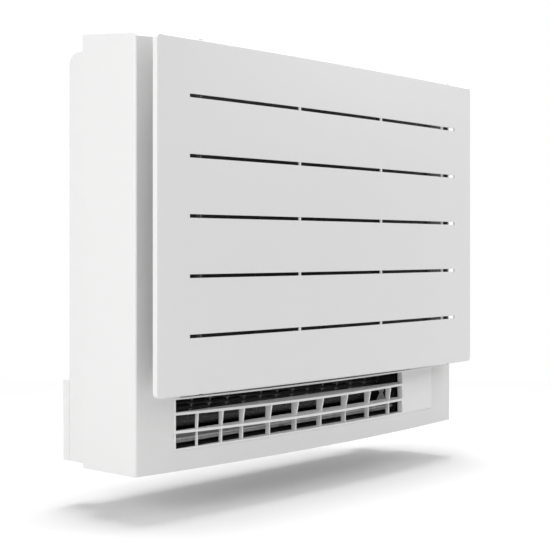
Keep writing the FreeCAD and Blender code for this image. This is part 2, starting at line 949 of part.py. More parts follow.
def wall_plate():
    plate = box(-plate_half, plate_half, wall_y - plate_thick, wall_y, plate_low, plate_high)
    middle = (plate_low + plate_high) / 2
    top = plate_high - fit_gap
    hook_back = inner_back_y - fit_gap
    hooks = []
    for place in hook_places():
        x0 = place - hook_width / 2
        x1 = place + hook_width / 2
        hooks.append(box(x0, x1, hook_back - thin_wall, wall_y - plate_thick / 2,
                         top - plate_thick, top))
        hooks.append(box(x0, x1, hook_back - thin_wall, hook_back, top - hook_drop(), top))
    plate = join([plate] + hooks)
    holes = [
        rod_y(wall_y - plate_thick - overrun, wall_y + overrun, side * plate_hole_x, middle, plate_hole)
        for side in (-1, 1)
    ]
    return plate.cut(Part.makeCompound(holes))


# Bulkheads: two upright plates that carry the fans, the ducts and the coil
def bulkhead(x0, opening):
    """One plate, with a square opening for each fan's shaft and a bore for the shutter's pin."""
    top = rear_top - wall - fit_gap
    outline = [
        (inner_back_y, wall),
        (inner_back_y, rear_top - rear_round),
        (inner_back_y - rear_round, top),
        (duct_front_y, top),
        (duct_front_y, notch_top),
        (bulkhead_mid_y, notch_top),
        (bulkhead_mid_y, pan_low),
        (bulkhead_front_y, pan_low),
        (bulkhead_front_y, wall),
    ]
    plate = prism_x(outline, x0, x0 + bulkhead_thick)
    start = x0 - overrun
    end = x0 + bulkhead_thick + overrun
    cuts = [facet_bore_x(start, end, shutter_y, insert_mid, shutter_pin + run_gap, pin_sides)]
    reach = opening / 2
    for y, z in ((lower_fan_y, lower_fan_z), (upper_fan_y, upper_fan_z)):
        cuts.append(box(start, end, y - reach, y + reach, z - reach, z + reach))
    return plate.cut(Part.makeCompound(cuts))


# Cross-flow fans
fan_left = fan_end_gap - duct_left
fan_right = duct_right - fan_end_gap


def blade_outline(y, z, radius, index):
    """One leaning blade between the rims of the discs."""
    spin = 360.0 * index / fan_blades
    outer = polar(y, z, radius - disc_edge, spin)
    inner = polar(y, z, radius * blade_root_share, spin + blade_lean_angle)
    dy, dz = inner[0] - outer[0], inner[1] - outer[1]
    length = math.hypot(dy, dz)
    ny, nz = -dz * blade_wall / length, dy * blade_wall / length
    return [outer, inner, (inner[0] + ny, inner[1] + nz), (outer[0] + ny, outer[1] + nz)]


def fan_wheel(y, z, radius):
    pieces = []
    pitch = (fan_right - fan_left - disc_thick) / fan_cells
    bore = radius * blade_root_share * blade_root_share
    for index in range(fan_cells + 1):
        x = fan_left + pitch * index
        disc = facet_rod_x(x, x + disc_thick, y, z, radius, disc_sides)
        if 0 < index < fan_cells:
            disc = disc.cut(facet_rod_x(x - overrun, x + overrun, y, z, bore, disc_sides // 2))
        pieces.append(disc)
    for index in range(fan_blades):
        outline = blade_outline(y, z, radius, index)
        pieces.append(prism_x(outline, fan_left + disc_thick / 2, fan_right - disc_thick / 2))
    pieces.append(facet_rod_x(fan_left, fan_left + hub_length, y, z, hub_radius, hub_sides))
    pieces.append(facet_rod_x(fan_right - hub_length, fan_right, y, z, hub_radius, hub_sides))
    bore = facet_bore_x(-half, half, y, z, shaft_radius + run_gap, pin_sides)
    return join(pieces).cut(bore)


def fan_shafts(y, z):
    left = rod_x(-duct_left - bulkhead_thick - block_length, fan_left + hub_length, y, z, shaft_radius)
    end = duct_right + bulkhead_thick + bracket_thick + motor_stub
    right = rod_x(fan_right - hub_length, end, y, z, shaft_radius)
    return Part.makeCompound([left, right])


def bearing_block(y, z):
    """A flanged block that sits in the left bulkhead's square opening."""
    outer_x = -duct_left - bulkhead_thick
    reach = block_flange / 2
    inner = block_neck / 2
    flange = box(outer_x - block_length, outer_x, y - reach, y + reach, z - reach, z + reach)
    neck = box(outer_x - block_length / 2, -duct_left, y - inner, y + inner, z - inner, z + inner)
    bore = facet_bore_x(outer_x - block_length - overrun, 0, y, z, shaft_radius + run_gap, pin_sides)
    return join([flange, neck]).cut(bore)


def fan_motor(y, z, motor_radius):
    start = duct_right + bulkhead_thick + bracket_thick
    can = facet_rod_x(start, start + motor_length, y, z, motor_radius, motor_sides)
    end = start + motor_stub + fit_gap
    return can.cut(facet_bore_x(start - overrun, end, y, z, shaft_radius + run_gap, pin_sides))


def motor_bracket(y, z, motor_radius):
    """A foot plate on the right bulkhead with a half-round cradle under the motor."""
    start = duct_right + bulkhead_thick
    reach = motor_radius + bracket_thick
    opening = shaft_opening / 2
    plate = box(start, start + bracket_thick - fit_gap, y - reach, y + reach, z - reach, z + reach)
    cradle = box(start, start + cradle_length, y - reach, y + reach, z - reach, z - opening)
    shaft_way = box(start - overrun, start + overrun, y - opening, y + opening,
                    z - opening, z + opening)
    seat = facet_rod_x(start + bracket_thick - fit_gap, start + cradle_length + overrun, y, z,
                       motor_radius + fit_gap, motor_sides)
    return join([plate, cradle]).cut(seat).cut(shaft_way)


# Air path of the lower fan
def lower_scroll():
    y, z = lower_fan_y, lower_fan_z
    floor = insert_bottom + swing_gap
    drop = z - floor
    r1 = lower_fan_radius + tongue_gap
    r2 = lower_fan_radius + scroll_mid_gap
    front = air_path_front()

    def at(radius, angle):
        py, pz = polar(y, z, radius, angle)
        return Vector(-duct_left, py, pz)

    def low(py, pz):
        return Vector(-duct_left, py, pz)

    grow = scroll_wall
    edges = [
        Part.Arc(at(r1, lower_scroll_start_angle), at(r2, lower_scroll_mid_angle),
                 low(y, z - drop)).toShape(),
        Part.makeLine(low(y, z - drop), low(front, floor)),
        Part.makeLine(low(front, floor), low(front, floor - grow)),
        Part.makeLine(low(front, floor - grow), low(y, floor - grow)),
        Part.Arc(low(y, floor - grow), at(r2 + grow, lower_scroll_mid_angle),
                 at(r1 + grow, lower_scroll_start_angle)).toShape(),
        Part.makeLine(at(r1 + grow, lower_scroll_start_angle), at(r1, lower_scroll_start_angle)),
    ]
    skin = Part.Face(Part.Wire(edges)).extrude(Vector(duct_left + duct_right, 0, 0))
    ribs = []
    for share in scroll_rib_shares:
        x = -duct_left + (duct_left + duct_right) * share
        ribs.append(box(x - thin_wall / 2, x + thin_wall / 2, front + wall, y, wall,
                        floor - grow / 2))
    return join([skin] + ribs)


def lower_tongue():
    """The outlet's ceiling and the tongue close to the fan, under the drain pan."""
    y, z = lower_fan_y, lower_fan_z
    near = lower_fan_radius + tongue_gap
    reaches = (near + wall, near, near, near, near + wall)
    under = [polar(y, z, reach, angle) for reach, angle in zip(reaches, lower_tongue_angles)]
    front = air_path_front()
    roof = insert_top - insert_rim
    crest = polar(y, z, near + 2 * wall, lower_tongue_angles[2])
    outline = [(front, roof)] + under + [crest, (front, roof + wall)]
    return prism_x(outline, -duct_left, duct_right)


# Air path of the upper fan
def upper_scroll():
    y, z = upper_fan_y, upper_fan_z
    r1 = upper_fan_radius + tongue_gap
    r2 = upper_fan_radius + scroll_mid_gap
    r3 = r2 + scroll_wall
    start, middle = upper_scroll_start_angle, upper_scroll_mid_angle
    end = math.degrees(math.acos((duct_rear_y + scroll_end_gap - y) / r2))

    def at(radius, angle):
        py, pz = polar(y, z, radius, angle)
        return Vector(-duct_left, py, pz)

    edges = [
        Part.Arc(at(r1, start), at(r2 - scroll_wall, middle), at(r2, end)).toShape(),
        Part.makeLine(at(r2, end), at(r3, end)),
        Part.Arc(at(r3, end), at(r2, middle), at(r1 + scroll_wall, start)).toShape(),
        Part.makeLine(at(r1 + scroll_wall, start), at(r1, start)),
    ]
    return Part.Face(Part.Wire(edges)).extrude(Vector(duct_left + duct_right, 0, 0))


def upper_tongue():
    y, z = upper_fan_y, upper_fan_z
    near = upper_fan_radius + tongue_gap
    reaches = (near + wall, near, near)
    under = [polar(y, z, reach, angle) for reach, angle in zip(reaches, upper_tongue_angles)]
    rear = duct_front_y + thin_wall
    top = duct_low - fit_gap
    outline = [(duct_front_y, top), (duct_front_y, z + wall)] + under
    outline += [(rear, z + upper_tongue_rise), (rear, top)]
    return prism_x(outline, -duct_left, duct_right)


vane_axis_z = rear_top - vane_axis_drop
vane_pitch = (duct_left + duct_right - 2 * thin_wall) / vane_count


def vane_places():
    start = thin_wall - duct_left
    return [start + vane_pitch * (index + 0.5) for index in range(vane_count)]


def upper_duct():
    """A four-sided duct whose long walls have open slots that the vanes' pins drop into."""
    top = rear_top - wall - fit_gap
    outer = box(-duct_left, duct_right, duct_front_y, duct_rear_y, duct_low, top)
    inner = box(thin_wall - duct_left, duct_right - thin_wall, duct_front_y + thin_wall,
                duct_rear_y - thin_wall, duct_low - overrun, top + overrun)
    reach = vane_pin + run_gap
    slots = [
        box(x - reach, x + reach, duct_front_y - overrun, duct_rear_y + overrun,
            vane_axis_z - reach, top + overrun)
        for x in vane_places()
    ]
    return outer.cut(Part.makeCompound([inner] + slots))


def upper_vane(x):
    """One upright vane that turns about a front-to-back pin, with a crank for the link."""
    front = duct_front_y + thin_wall + swing_gap
    back = duct_rear_y - thin_wall - swing_gap
    middle = (front + back) / 2
    crank_z = vane_axis_z - vane_crank
    low = vane_axis_z - vane_height / 2
    reach = vane_notch / 2
    plate = box(x - vane_thick / 2, x + vane_thick / 2, front, back, low, low + vane_height)
    notch = box(x - vane_thick, x + vane_thick, middle - reach, middle + reach,
                low - overrun, crank_z + reach)
    sides = vane_pin_sides
    pins = [
        facet_rod_y(duct_front_y, front + wall, x, vane_axis_z, vane_pin, sides),
        facet_rod_y(back - wall, duct_rear_y, x, vane_axis_z, vane_pin, sides),
        facet_rod_y(middle - reach - wall, middle + reach + wall, x, crank_z, crank_pin, sides),
    ]
    return join([plate.cut(notch)] + pins)


def vane_link(places):
    """A bar that clips over the cranks of one group of vanes."""
    middle = (duct_front_y + duct_rear_y) / 2
    crank_z = vane_axis_z - vane_crank
    reach = crank_pin + run_gap
    bar = box(places[0] - link_height, places[-1] + link_height, middle - link_thick / 2,
              middle + link_thick / 2, crank_z - link_height / 2, crank_z + link_height / 2)
    notches = [
        box(x - reach, x + reach, middle - link_thick, middle + link_thick,
            crank_z - link_height, crank_z + reach)
        for x in places
    ]
    return bar.cut(Part.makeCompound(notches))


# Upper flap
def upper_flap():
    """A plate that follows the casing's top, with a hub and a pin at each end."""
    y, z = flap_axis_y, flap_axis_z
    back_y = y + flap_tail
    corners = [
        Vector(0, flap_front_y - overrun, top_z(flap_front_y - overrun)),
        Vector(0, back_y + overrun, top_z(back_y + overrun)),
        Vector(0, back_y + overrun, top_z(back_y + overrun) - flap_thick),
        Vector(0, flap_front_y - overrun, top_z(flap_front_y - overrun) - flap_thick),
    ]
    section = [Part.makeLine(a, b) for a, b in zip(corners, corners[1:] + corners[:1])]
    plate = turned(section, corner_y, casing_bow)
    pieces = [plate.common(box(-flap_half, flap_half, flap_front_y, back_y, 0, height))]
    for side in (-1, 1):
        hub = sorted((side * flap_half, side * (flap_half - flap_hub_length)))
        pieces.append(facet_rod_x(hub[0], hub[1], y, z, flap_barrel, hub_sides))
    pieces.append(rod_x(-flap_outer, overrun - flap_half, y, z, flap_pin))
    pieces.append(rod_x(flap_half - overrun, flap_outer + overrun, y, z, flap_pin))
    return join(pieces)


def stepper(start, y, z, pin_radius):
    """A small geared stepper whose drive bore takes the end of a pin."""
    can = facet_rod_x(start, start + stepper_length, y, z - stepper_offset, stepper_radius, stepper_sides)
    bore = facet_bore_x(start - overrun, start + overrun + fit_gap, y, z, pin_radius + run_gap, pin_sides)
    return can.cut(bore)


def flap_motor():
    start = flap_outer + fit_gap
    return stepper(start, flap_axis_y, flap_axis_z, flap_pin)


# Lower shutter
def lower_shutter():
    y, z = shutter_y, insert_mid
    x0 = swing_gap - duct_left
    x1 = duct_right - swing_gap
    inner = shutter_radius - shutter_thick
    start = down_angle - shutter_front_angle
    end = down_angle + shutter_rear_angle
    middles = [x0 + (x1 - x0) * share for share in shutter_arm_shares]
    blade = arc_band(y, z, inner, shutter_radius, start, end, x0, x1)
    stops = [x0 + shutter_arm] + middles + [x1 - shutter_arm]
    slots = []
    for left, right in zip(stops[:-1], stops[1:]):
        slots.append(
            arc_band(y, z, inner - wall, shutter_radius + wall, down_angle - shutter_slot_high_angle,
                     down_angle - shutter_slot_low_angle, left + 2 * shutter_arm, right - 2 * shutter_arm)
        )
    blade = blade.cut(Part.makeCompound(slots))
    arms = []
    for x in (x0, x1 - shutter_arm):
        arm = arc_band(y, z, shutter_hub / 2, inner + shutter_thick / 2,
                       down_angle - shutter_slot_low_angle, down_angle + shutter_slot_low_angle,
                       x, x + shutter_arm)
        arms += [arm, facet_rod_x(x, x + shutter_arm, y, z, shutter_hub, hub_sides)]
    for place in middles:
        left = place - shutter_arm / 2
        arms.append(arc_band(y, z, inner - 2 * shutter_arm, inner + shutter_thick / 2, start, end,
                             left, left + shutter_arm))
    pins = [
        rod_x(-duct_left - bulkhead_thick, x0 + shutter_arm, y, z, shutter_pin),
        rod_x(x1 - shutter_arm, duct_right + bulkhead_thick + overrun, y, z, shutter_pin),
    ]
    return join([blade] + arms + pins)


def shutter_motor():
    return stepper(duct_right + bulkhead_thick + fit_gap, shutter_y, insert_mid, shutter_pin)


# Heat exchanger
coil_left = coil_end_gap - duct_left
coil_right = duct_right - coil_end_gap
tube_pitch = (coil_top - coil_bottom) / tube_rows


def tube_y(row):
    return coil_front_y + coil_thick * (1 + 2 * row) / 4


def tube_z(index):
    return coil_bottom + tube_pitch * (index + 0.5)


def fin_block():
    return box(coil_left, coil_right, coil_front_y, coil_back_y, coil_bottom, coil_top)


def coil_end_plate(x0, side):
    plate = box(x0, x0 + end_plate, coil_front_y, bulkhead_mid_y, coil_bottom, coil_top)
    ends = sorted((x0 + end_plate / 2, side * duct_edge(side) + side * bulkhead_thick))
    flange = box(ends[0], ends[1], bulkhead_mid_y - end_plate, bulkhead_mid_y, coil_bottom, coil_top)
    return join([plate, flange])


def duct_edge(side):
    return duct_left if side < 0 else duct_right


def tube_ring(centre, radius, sides):
    """A closed ring of points about an axis along X."""
    turns = [2 * math.pi * (index + 0.5) / sides for index in range(sides)]
    return [centre + Vector(0, radius * math.cos(a), radius * math.sin(a)) for a in turns]


def return_bend(x, side, low_tube, high_tube):
    """A hairpin bend between two tubes, each an index and a row, as a mitred six-sided tube."""
    low = Vector(x, tube_y(low_tube[1]), tube_z(low_tube[0]))
    high = Vector(x, tube_y(high_tube[1]), tube_z(high_tube[0]))
    shoulder = Vector(side * bend_reach / 2, 0, 0)
    crown = (low + high) * 0.5 + Vector(side * bend_reach, 0, 0)
    ring = tube_ring(low, tube_radius, tube_sides)
    path = Part.makePolygon([low, low + shoulder, crown, high + shoulder, high])
    return path.makePipeShell([Part.makePolygon(ring + ring[:1])], True, True, 1)


def return_bends():
    """Bends at the left end: pairs in each row and one across the rows at the top."""
    x = coil_left - end_plate
    pairs = [((index, row), (index + 1, row)) for index in range(1, tube_rows - 1, 2) for row in (0, 1)]
    pairs.append(((tube_rows - 1, 0), (tube_rows - 1, 1)))
    return Part.makeCompound([return_bend(x, -1, low, high) for low, high in pairs])


def header_bends():
    """Bends at the right end."""
    x = coil_right + end_plate
    pairs = [((index, row), (index + 1, row)) for index in range(0, tube_rows, 2) for row in (0, 1)]
    return Part.makeCompound([return_bend(x, 1, low, high) for low, high in pairs])


# Drain pan with its nozzle
def drain_pan():
    high = pan_low + pan_height
    back = bulkhead_mid_y - swing_gap
    outer = box(-pan_left, pan_right, pan_front_y, back, pan_low, high)
    inner = box(thin_wall - pan_left, pan_right - thin_wall, pan_front_y + thin_wall, back - thin_wall,
                pan_low + thin_wall, high + overrun)
    pan = outer.cut(inner)
    rails = [
        box(coil_left, coil_right, y - thin_wall / 2, y + thin_wall / 2, pan_low + thin_wall / 2,
            coil_bottom)
        for y in (coil_mid_y - coil_thick / 4, coil_mid_y + coil_thick / 4)
    ]
    x = nozzle_radius + thin_wall - pan_left
    y = (pan_front_y + bulkhead_mid_y) / 2
    low = pan_low - nozzle_length
    nozzle = facet_rod_z(low, pan_low + thin_wall / 2, x, y, nozzle_radius, nozzle_sides)
    bore = facet_rod_z(low - overrun, pan_low + overrun, x, y, nozzle_bore, nozzle_sides)
    return join([pan, nozzle] + rails).cut(bore)


# Refrigerant pipes
def refrigerant_pipe(row, radius, low):
    """A pipe from the coil's lowest tube out, down and back to its straight end."""
    start = Vector(coil_left - end_plate, tube_y(row), tube_z(0))
    upper = Vector(-pipe_place, start.y, start.z)
    lower = Vector(-pipe_place, start.y, low)
    path = Part.makePolygon([
        start,
        upper + Vector(pipe_bend, 0, 0),
        upper - Vector(0, 0, pipe_bend),
        lower + Vector(0, 0, pipe_bend),
        lower + Vector(0, pipe_bend, 0),
        Vector(-pipe_place, pipe_end_y, low),
    ])
    ring = tube_ring(start, radius, pipe_sides)
    return path.makePipeShell([Part.makePolygon(ring + ring[:1])], True, True, 1)


def flare_nut(radius, low):
    """A six-sided nut round the pipe's straight end."""
    end = pipe_end_y - nut_setback
    nut = facet_rod_y(end - nut_length, end, -pipe_place, low, radius + nut_growth, nut_sides)
    seat = radius / math.cos(math.pi / pipe_sides)
    bore = facet_rod_y(end - nut_length - overrun, pipe_end_y, -pipe_place, low, seat, pipe_sides)
    return nut.cut(bore)


# Electrical box
def electrical_box():
    outer = box(box_left, box_right, box_front_y, box_back_y, box_low, box_high)
    inner = box(box_left + thin_wall, box_right - thin_wall, box_front_y - overrun,
                box_back_y - thin_wall, box_low + thin_wall, box_high - thin_wall)
    x = (box_left + box_right) / 2
    y = (box_front_y + box_back_y) / 2
    entry = box(x - nozzle_bore, x + nozzle_bore, y - nozzle_bore, y + nozzle_bore,
                box_low - overrun, box_low + overrun)
    lugs = [
        box(duct_right + bulkhead_thick, box_left + thin_wall / 2, box_back_y - wall, box_back_y,
            z, z + wall)
        for z in (box_low + lug_inset, box_high - lug_inset)
    ]
    return join([outer.cut(inner)] + board_posts() + lugs).cut(entry)


def board_corners():
    x0 = box_left + thin_wall + board_gap
    x1 = box_right - thin_wall - board_gap
    z0 = box_low + thin_wall + 4 * board_gap
    z1 = box_high - thin_wall - board_gap
    return x0, x1, z0, z1


def board_posts():
    x0, x1, z0, z1 = board_corners()
    front = box_back_y - thin_wall - board_gap
    back = box_back_y - thin_wall / 2
    return [
        box(x, x + post_size, front, back, z, z + post_size)
        for x in (x0 + post_size, x1 - 2 * post_size)
        for z in (z0 + post_size, z1 - 2 * post_size)
    ]


def circuit_board():
    x0, x1, z0, z1 = board_corners()
    y1 = box_back_y - thin_wall - board_gap
    y0 = y1 - board_thick
    board = box(x0, x1, y0, y1, z0, z1)
    w = x1 - x0
    h = z1 - z0
    blocks = []
    for left, low, wide, tall, rise in component_shares:
        blocks.append(
            box(x0 + w * left, x0 + w * (left + wide), y0 - board_gap * rise, y0 + board_thick / 2,
                z0 + h * low, z0 + h * (low + tall))
        )
    return join([board] + blocks)


def terminal_block():
    x0, x1 = board_corners()[:2]
    low = box_low + thin_wall
    front = box_front_y + terminal_setback
    body = box(x0, x1, front, front + board_gap * 2, low, low + board_gap * 2.5)
    pitch = (x1 - x0) / terminal_lanes
    trim = pitch * lane_gap_share / 2
    lanes = []
    for index in range(terminal_lanes):
        left = x0 + pitch * index
        lanes.append(box(left + trim, left + pitch - trim, front - overrun, front + board_gap,
                         low + board_gap, low + board_gap * 3))
    return body.cut(Part.makeCompound(lanes))


def electrical_cover():
    y1 = box_front_y - fit_gap
    return box(box_left, box_right, y1 - thin_wall, y1, box_low, box_high)


def build():
    save(front_casing(), "front_casing")
    save(front_panel(), "front_panel")
    left_bracket = hinge_bracket()
    save(left_bracket, "panel_hinge_bracket_left")
    save(mirror_x(left_bracket), "panel_hinge_bracket_right")
    left_latch = panel_latch()
    save(left_latch, "panel_latch_left")
    save(mirror_x(left_latch), "panel_latch_right")
    right_filter = air_filter()
    save(mirror_x(right_filter), "air_filter_left")
    save(right_filter, "air_filter_right")
    save(lower_grille(), "lower_grille")
    save(rear_casing(), "rear_casing")
    left_cover = piping_cover()
    save(left_cover, "piping_cover_left")
    save(mirror_x(left_cover), "piping_cover_right")
    save(wall_plate(), "wall_plate")
    save(bulkhead(-duct_left - bulkhead_thick, block_neck + 2 * fit_gap), "bulkhead_left")
    save(bulkhead(duct_right, shaft_opening), "bulkhead_right")
    fans = (
        ("lower", lower_fan_y, lower_fan_z, lower_fan_radius),
        ("upper", upper_fan_y, upper_fan_z, upper_fan_radius),
    )
    for name, y, z, radius in fans:
        save(fan_wheel(y, z, radius), name + "_fan_wheel")
        save(fan_shafts(y, z), name + "_fan_shafts")
        save(bearing_block(y, z), name + "_bearing_block")
        save(fan_motor(y, z, radius - motor_step), name + "_fan_motor")
        save(motor_bracket(y, z, radius - motor_step), name + "_motor_bracket")
    save(lower_scroll(), "lower_scroll")
    save(lower_tongue(), "lower_tongue")
    save(upper_scroll(), "upper_scroll")
    save(upper_tongue(), "upper_tongue")
    save(upper_duct(), "upper_duct")
    places = vane_places()
    for index, x in enumerate(places):
        save(upper_vane(x), "upper_vane_" + str(index + 1))
    middle = vane_count // 2
    save(vane_link(places[:middle]), "vane_link_left")
    save(vane_link(places[middle:]), "vane_link_right")
    save(upper_flap(), "upper_flap")
    save(flap_motor(), "flap_motor")
    save(lower_shutter(), "lower_shutter")
    save(shutter_motor(), "shutter_motor")
    save(fin_block(), "fin_block")
    save(coil_end_plate(coil_left - end_plate, -1), "coil_end_plate_left")
    save(coil_end_plate(coil_right, 1), "coil_end_plate_right")
    save(return_bends(), "return_bends")
    save(header_bends(), "header_bends")
    save(drain_pan(), "drain_pan")
    liquid_low = pipe_low + pipe_spread
    save(refrigerant_pipe(0, gas_radius, pipe_low), "gas_pipe")
    save(refrigerant_pipe(1, liquid_radius, liquid_low), "liquid_pipe")
    nuts = [flare_nut(gas_radius, pipe_low), flare_nut(liquid_radius, liquid_low)]
    save(Part.makeCompound(nuts), "flare_nuts")
    save(electrical_box(), "electrical_box")
    save(electrical_cover(), "electrical_cover")
    save(circuit_board(), "circuit_board")
    save(terminal_block(), "terminal_block")


build()
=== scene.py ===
import json
from math import atan2, pi, radians

import bmesh
import bpy
from mathutils import Matrix, Vector

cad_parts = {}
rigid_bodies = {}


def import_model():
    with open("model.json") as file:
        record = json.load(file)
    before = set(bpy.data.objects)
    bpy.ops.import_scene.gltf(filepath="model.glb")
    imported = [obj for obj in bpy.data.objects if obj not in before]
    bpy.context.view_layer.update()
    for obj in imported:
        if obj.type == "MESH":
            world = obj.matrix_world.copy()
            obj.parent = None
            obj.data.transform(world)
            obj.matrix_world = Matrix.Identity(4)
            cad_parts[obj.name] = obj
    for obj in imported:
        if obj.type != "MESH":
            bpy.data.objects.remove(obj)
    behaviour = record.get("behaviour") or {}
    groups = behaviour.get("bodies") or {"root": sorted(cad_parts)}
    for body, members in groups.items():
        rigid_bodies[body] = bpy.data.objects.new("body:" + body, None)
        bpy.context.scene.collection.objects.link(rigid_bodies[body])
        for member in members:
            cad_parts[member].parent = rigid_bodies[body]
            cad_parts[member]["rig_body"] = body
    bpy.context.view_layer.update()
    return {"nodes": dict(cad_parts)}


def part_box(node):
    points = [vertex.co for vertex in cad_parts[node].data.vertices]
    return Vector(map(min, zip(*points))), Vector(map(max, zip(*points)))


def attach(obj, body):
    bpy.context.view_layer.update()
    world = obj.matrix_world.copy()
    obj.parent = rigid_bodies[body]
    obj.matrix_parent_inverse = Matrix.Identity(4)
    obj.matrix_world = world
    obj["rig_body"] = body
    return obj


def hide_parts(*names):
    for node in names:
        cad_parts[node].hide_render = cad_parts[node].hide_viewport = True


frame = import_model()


# The view: the unit seen from its left front corner, at the height of its middle,
# through a moderately long lens with the film moved a little so uprights stay upright.
sight_across = 0.7478
sight_deep = 0.6639
lens = bpy.data.cameras.new("corner_view")
lens.lens = 80.32
lens.sensor_width = 36.0
lens.shift_x = 0.0031
lens.shift_y = -0.0467
camera = bpy.data.objects.new("corner_view", lens)
camera.location = (-1.4706, -1.2823, 0.3031)
camera.rotation_euler = (pi / 2, 0.0, -atan2(sight_across, sight_deep))
bpy.context.scene.collection.objects.link(camera)
bpy.context.scene.camera = camera
bpy.context.scene.view_settings.view_transform = "Standard"


# The studio: a pale floor a hand's breadth under the unit, which hangs on the wall,
# with the shadow falling on it, and a white surround behind.
class Level:
    """One output of a shader node, written in sums as a number is."""

    def __init__(self, tree, socket=None):
        self.tree = tree
        self.socket = socket

    def node(self, kind, settings=None, sockets=None, output=0):
        """Adds a node: its settings first, then what its sockets are given."""
        made = self.tree.nodes.new(kind)
        for name, setting in (settings or {}).items():
            setattr(made, name, setting)
        for name, given in (sockets or {}).items():
            if isinstance(given, Level):
                self.tree.links.new(given.socket, made.inputs[name])
            else:
                made.inputs[name].default_value = given
        return Level(self.tree, made.outputs[output] if made.outputs else None)

    def beside(self, output):
        """Another output of the same node."""
        return Level(self.tree, self.socket.node.outputs[output])

    def sum(self, operation, *terms):
        """Adds a Math node that works on the terms."""
        return self.node("ShaderNodeMath", {"operation": operation}, dict(enumerate(terms)))

    def __add__(self, other):
        return self.sum("ADD", self, other)

    def __sub__(self, other):
        return self.sum("SUBTRACT", self, other)

    def __rsub__(self, other):
        return self.sum("SUBTRACT", other, self)

    def __mul__(self, other):
        return self.sum("MULTIPLY", self, other)

    def __truediv__(self, other):
        return self.sum("DIVIDE", self, other)

    __radd__ = __add__
    __rmul__ = __mul__


def bare_tree(owner):
    """Starts the nodes of a world or a material from nothing."""
    owner.use_nodes = True
    owner.node_tree.nodes.clear()
    return Level(owner.node_tree)


def set_down(name, shape):
    """Turns a finished shape into a piece of the scene."""
    mesh = bpy.data.meshes.new(name)
    shape.to_mesh(mesh)
    shape.free()
    piece = bpy.data.objects.new(name, mesh)
    bpy.context.scene.collection.objects.link(piece)
    return piece


ambient = 0.46
surround = bpy.data.worlds.new("white_surround")
bpy.context.scene.world = surround
sky = bare_tree(surround)
seen = sky.node("ShaderNodeLightPath", output="Is Camera Ray")
mirrored = seen.beside("Is Glossy Ray")
open_white = sky.sum("MINIMUM", seen + mirrored + seen.beside("Is Transmission Ray"), 1.0)
glow = sky.node("ShaderNodeBackground", sockets={
    "Color": (1.0, 1.0, 1.0, 1.0), "Strength": open_white * (1.0 - ambient) + ambient})
sky.node("ShaderNodeOutputWorld", sockets={"Surface": glow})

floor_drop = 0.066
floor_half = 9.0
fade_start = 0.9
fade_end = 1.8
floor_shape = bmesh.new()
bmesh.ops.create_grid(floor_shape, x_segments=2, y_segments=2, size=floor_half)
bmesh.ops.translate(floor_shape, verts=floor_shape.verts, vec=(0.0, 0.0, -floor_drop))
studio_floor = set_down("studio_floor", floor_shape)

floor_paint = bpy.data.materials.new("pale_floor")
ground = bare_tree(floor_paint)
spot = ground.node("ShaderNodeTexCoord", output="Object")
reach = ground.node("ShaderNodeVectorMath", {"operation": "LENGTH"}, {0: spot}, output="Value")
far = ground.node("ShaderNodeMapRange", {"interpolation_type": "SMOOTHSTEP"}, {
    "Value": reach, "From Min": fade_start, "From Max": fade_end})
white = ground.node("ShaderNodeEmission", sockets={"Color": (1.0, 1.0, 1.0, 1.0), "Strength": 1.0})
from_eye = ground.node("ShaderNodeLightPath", output="Is Camera Ray")
shown = ground.sum("MINIMUM", from_eye + from_eye.beside("Is Glossy Ray"), 1.0)
paper = ground.node("ShaderNodeMix", {"data_type": "RGBA"}, {
    0: shown, 6: (0.7, 0.7, 0.7, 1.0), 7: (0.97, 0.97, 0.97, 1.0)}, output=2)
matt = ground.node("ShaderNodeBsdfDiffuse", sockets={"Color": paper})
laid = ground.node("ShaderNodeMixShader", sockets={0: shown * far, 1: matt, 2: white})
ground.node("ShaderNodeOutputMaterial", sockets={"Surface": laid})
studio_floor.data.materials.append(floor_paint)


def softbox(name, place, aim, size, power):
    """A square lamp behind a wide diffuser, turned to face the unit."""
    lamp = bpy.data.lights.new(name, "AREA")
    lamp.shape = "SQUARE"
    lamp.size = size
    lamp.energy = power
    stand = bpy.data.objects.new(name, lamp)
    stand.location = place
    stand.rotation_euler = (Vector(aim) - Vector(place)).to_track_quat("-Z", "Y").to_euler()
    bpy.context.scene.collection.objects.link(stand)


softbox("overhead_box", place=(0.1, 0.1, 2.6), aim=(0.0, 0.0, 0.0), size=1.6, power=52.0)
softbox("left_box", place=(-2.6, -0.4, 0.9), aim=(-0.3, 0.0, 0.4), size=1.4, power=26.0)
softbox("right_front_box", place=(1.3, -1.2, 1.2), aim=(0.3, -0.1, 0.45), size=1.0, power=7.0)


# White mouldings: the front casing, the rear casing and the covers over the pipes are
# moulded in satin white plastic, with a faint texture from the mould on every face. Round
# the front casing's windows, black is laid on as painted shade, for the shadow behind the slots.
def position(material):
    """Where a point of the unit is, in metres."""
    return Level(material.node_tree).node("ShaderNodeTexCoord", output="Object")


def finish(name, colour, roughness, metallic=0.0):
    """A material whose unvarying values sit on the shader's own sockets."""
    material = bpy.data.materials.new(name)
    material.use_nodes = True
    shader = material.node_tree.nodes["Principled BSDF"]
    shader.inputs["Base Color"].default_value = (*colour, 1.0)
    shader.inputs["Roughness"].default_value = roughness
    shader.inputs["Metallic"].default_value = metallic
    return material, shader, position(material)


def feed(shader, name, level):
    """Joins a varying value to one of the shader's sockets."""
    level.tree.links.new(level.socket, shader.inputs[name])


def grain(place, size, detail=2.0, stretch=(1.0, 1.0, 1.0)):
    """Soft random variation, with features about as large as size, in metres."""
    scale = tuple(share / size for share in stretch)
    stretched = place.node("ShaderNodeMapping", sockets={"Vector": place, "Scale": scale})
    return place.node("ShaderNodeTexNoise", sockets={
        "Vector": stretched, "Scale": 1.0, "Detail": detail, "Roughness": 0.55})


